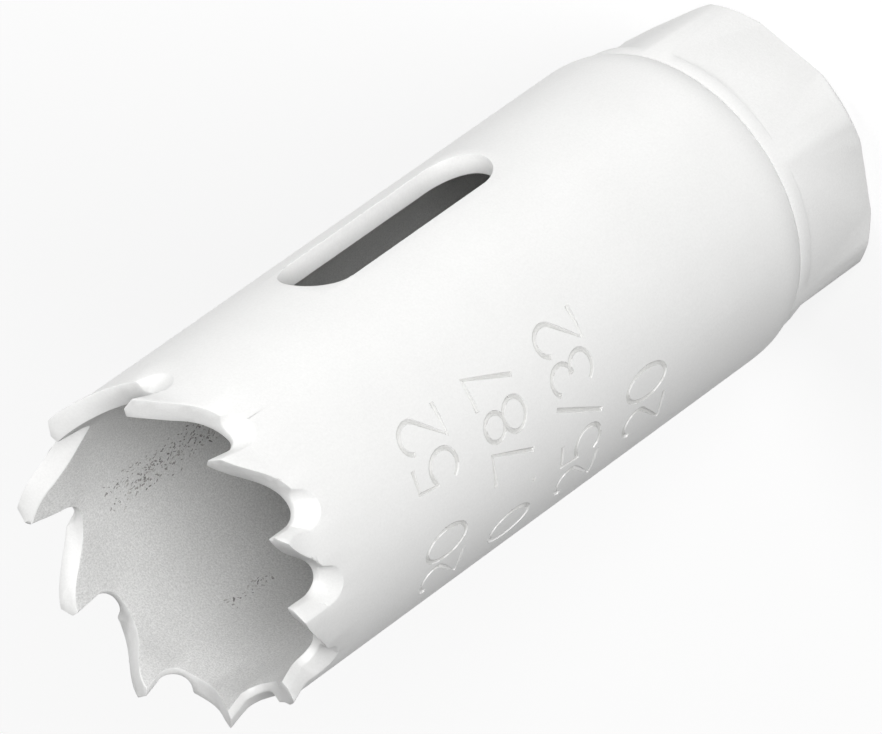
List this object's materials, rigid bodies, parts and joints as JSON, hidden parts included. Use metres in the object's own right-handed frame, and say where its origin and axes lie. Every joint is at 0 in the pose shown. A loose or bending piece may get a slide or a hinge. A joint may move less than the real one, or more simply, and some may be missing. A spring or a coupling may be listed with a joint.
{
  "type": "bimetal hole saw",
  "caption": "Small hole saw: a toothed steel tube with a chip slot on a hexagon cap with a threaded arbor bore.",
  "frame": {"origin": "centre of the cap's flat back face, which the saw stands on", "axes": "+Z along the saw's axis from the cap to the teeth, -Y out through the chip slot"},
  "size_m": [0.0211, 0.0207, 0.052],
  "materials": {
    "tube_enamel": "white satin enamel, lightly grained",
    "cap_enamel": "white satin enamel over turned steel"
  },
  "bodies": {
    "root": {"saw_tube": "tube_enamel", "end_cap": "cap_enamel"}
  },
  "joints": []
}
